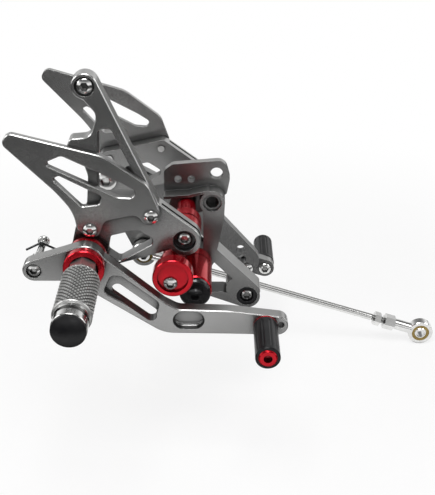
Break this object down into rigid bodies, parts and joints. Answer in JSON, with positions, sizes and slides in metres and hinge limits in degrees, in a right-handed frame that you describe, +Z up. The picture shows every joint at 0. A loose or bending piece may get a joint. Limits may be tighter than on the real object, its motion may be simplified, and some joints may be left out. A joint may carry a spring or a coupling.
{
  "type": "rear sets footrest",
  "caption": "Pair of motorcycle rear-set footrests with heel guards, knurled pegs, a brake lever with an eccentric stop, a gear lever with its rod, and a frame bracket.",
  "frame": {"origin": "centre of the frame bracket's upper bolt hole, on the plate's outer face", "axes": "+X to the front of the motorcycle, +Y to its left side, +Z up; the pivots and bolts lie along Y"},
  "size_m": [0.3638, 0.3972, 0.3256],
  "materials": {
    "titanium_grey": "satin anodised",
    "red_anodised": "bright anodised",
    "stainless": "bright",
    "peg_alloy": "knurled",
    "polished_alloy": "polished",
    "black_oxide": "satin black",
    "black_plastic": "semi-matt",
    "brass": "plain"
  },
  "bodies": {
    "rear_set_pair": {"right_hanger": "titanium_grey", "right_heel_guard": "titanium_grey", "right_guard_bolts": "stainless", "strut_bolt": "stainless", "boss_bolt": "stainless", "boss_ring": "black_oxide", "hanger_standoff": "red_anodised", "frame_bracket": "titanium_grey", "bracket_bolt": "stainless", "bracket_ring": "black_oxide", "spring_post": "red_anodised", "spring_post_washer": "black_oxide", "spring_post_bolt": "black_oxide", "stop_post": "red_anodised", "stop_cam": "red_anodised", "stop_bolt": "stainless", "brake_pivot_bush": "red_anodised", "brake_pivot_ring": "red_anodised", "right_spindle": "stainless", "right_peg_barrel": "peg_alloy", "right_peg_collar": "polished_alloy", "right_peg_cap": "black_plastic", "left_hanger": "titanium_grey", "left_heel_guard": "titanium_grey", "left_guard_bolts": "stainless", "gear_pivot_bush": "red_anodised", "gear_pivot_ring": "red_anodised", "left_spindle": "stainless", "left_peg_barrel": "peg_alloy", "left_peg_collar": "polished_alloy", "left_peg_cap": "black_plastic"},
    "brake_lever_body": {"brake_lever": "titanium_grey", "brake_toe_ring": "red_anodised", "brake_toe_sleeve": "black_plastic", "brake_toe_plug": "red_anodised", "brake_toe_bolt": "stainless", "brake_tail_bolt": "stainless", "brake_rod_pin": "stainless", "cotter_pin": "black_oxide"},
    "gear_lever_body": {"gear_lever": "titanium_grey", "toe_holder": "titanium_grey", "holder_screw": "stainless", "gear_toe_ring": "black_oxide", "gear_toe_sleeve": "black_plastic", "gear_toe_plug": "red_anodised", "gear_toe_bolt": "stainless", "rod_bolt": "stainless", "rear_ball": "stainless"},
    "gear_rod_body": {"gear_rod": "stainless", "rear_rod_end": "stainless", "rear_race": "brass", "rear_jam_nut": "stainless", "front_jam_nut": "stainless", "front_rod_end": "stainless", "front_race": "brass"},
    "front_ball_body": {"front_ball": "stainless"}
  },
  "joints": [
    {"name": "brake_lever_pivot", "type": "hinge", "parent": "rear_set_pair", "child": "brake_lever_body", "pos_m": [-0.0972, -0.0865, -0.0335], "axis": [0, 1, 0], "range_deg": [-4, 12]},
    {"name": "gear_lever_pivot", "type": "hinge", "parent": "rear_set_pair", "child": "gear_lever_body", "pos_m": [-0.099, 0.1075, -0.0405], "axis": [0, 1, 0], "range_deg": [-12, 12]},
    {"name": "gear_rod_swing", "type": "hinge", "parent": "gear_lever_body", "child": "gear_rod_body", "pos_m": [-0.0686, 0.09525, -0.1215], "axis": [0, 1, 0], "range_deg": [-12, 20]},
    {"name": "front_ball_turn", "type": "hinge", "parent": "gear_rod_body", "child": "front_ball_body", "pos_m": [0.1994, 0.09525, -0.2081], "axis": [0, 1, 0], "continuous": true}
  ]
}
